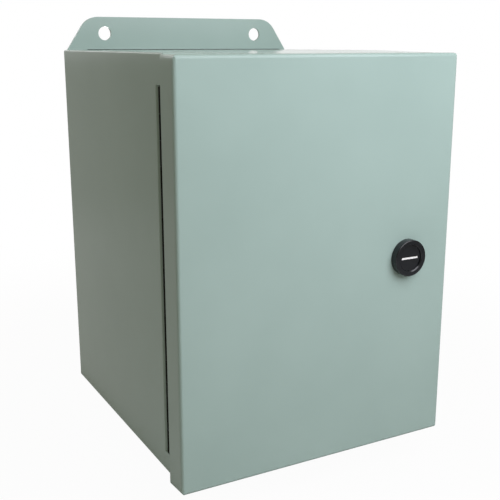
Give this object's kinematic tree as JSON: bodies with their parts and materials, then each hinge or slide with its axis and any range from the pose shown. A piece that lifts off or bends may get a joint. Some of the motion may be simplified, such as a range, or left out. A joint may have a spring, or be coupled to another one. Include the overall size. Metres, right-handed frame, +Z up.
{
  "type": "electrical enclosure",
  "caption": "Wall-mount sheet steel electrical enclosure: flanged box with a sealing lip, hinged gasketed door, coin-slot quarter-turn latch and a removable inner panel.",
  "frame": {"origin": "centre of the four mounting holes, on the flat back face that lies on the wall", "axes": "+X to the right as seen from the front, +Y into the wall, +Z up; the door faces -Y"},
  "size_m": [0.156, 0.1695, 0.2414],
  "materials": {
    "grey_paint": "semi-gloss baked powder coat, light grey with a green cast",
    "white_paint": "semi-gloss white powder coat",
    "zinc_steel": "bright zinc plate",
    "bright_steel": "bright drawn stainless steel",
    "black_steel": "satin black baked finish on the hinge",
    "brass": "plain brass",
    "seal_rubber": "matt black foam rubber",
    "black_plastic": "glossy black moulded plastic",
    "white_fill": "white moulded strip"
  },
  "bodies": {
    "box": {"body_shell": "grey_paint", "panel_studs": "zinc_steel", "inner_panel": "white_paint", "panel_washers": "zinc_steel", "panel_nuts": "zinc_steel", "earth_stud": "brass", "earth_washer": "zinc_steel", "earth_nut": "brass", "hinge_body_leaf": "black_steel", "hinge_pin": "black_steel"},
    "door": {"door_panel": "grey_paint", "door_gasket": "seal_rubber", "hinge_door_leaf": "black_steel", "bond_stud": "brass", "bond_washer": "zinc_steel", "bond_nut": "brass", "latch_housing": "black_plastic", "latch_seal": "seal_rubber", "latch_nut": "zinc_steel"},
    "latch": {"latch_rotor": "black_plastic", "slot_inlay": "white_fill", "rotor_o_ring": "seal_rubber", "latch_cam": "zinc_steel", "cam_washer": "zinc_steel", "cam_screw": "bright_steel"}
  },
  "joints": [
    {"name": "door_hinge", "type": "hinge", "parent": "box", "child": "door", "pos_m": [-0.07445, -0.1455, -0.0018], "axis": [0, 0, -1], "range_deg": [0, 110]},
    {"name": "latch_turn", "type": "hinge", "parent": "door", "child": "latch", "pos_m": [0.0505, -0.1654, -0.0018], "axis": [0, 1, 0], "range_deg": [0, 90]}
  ]
}
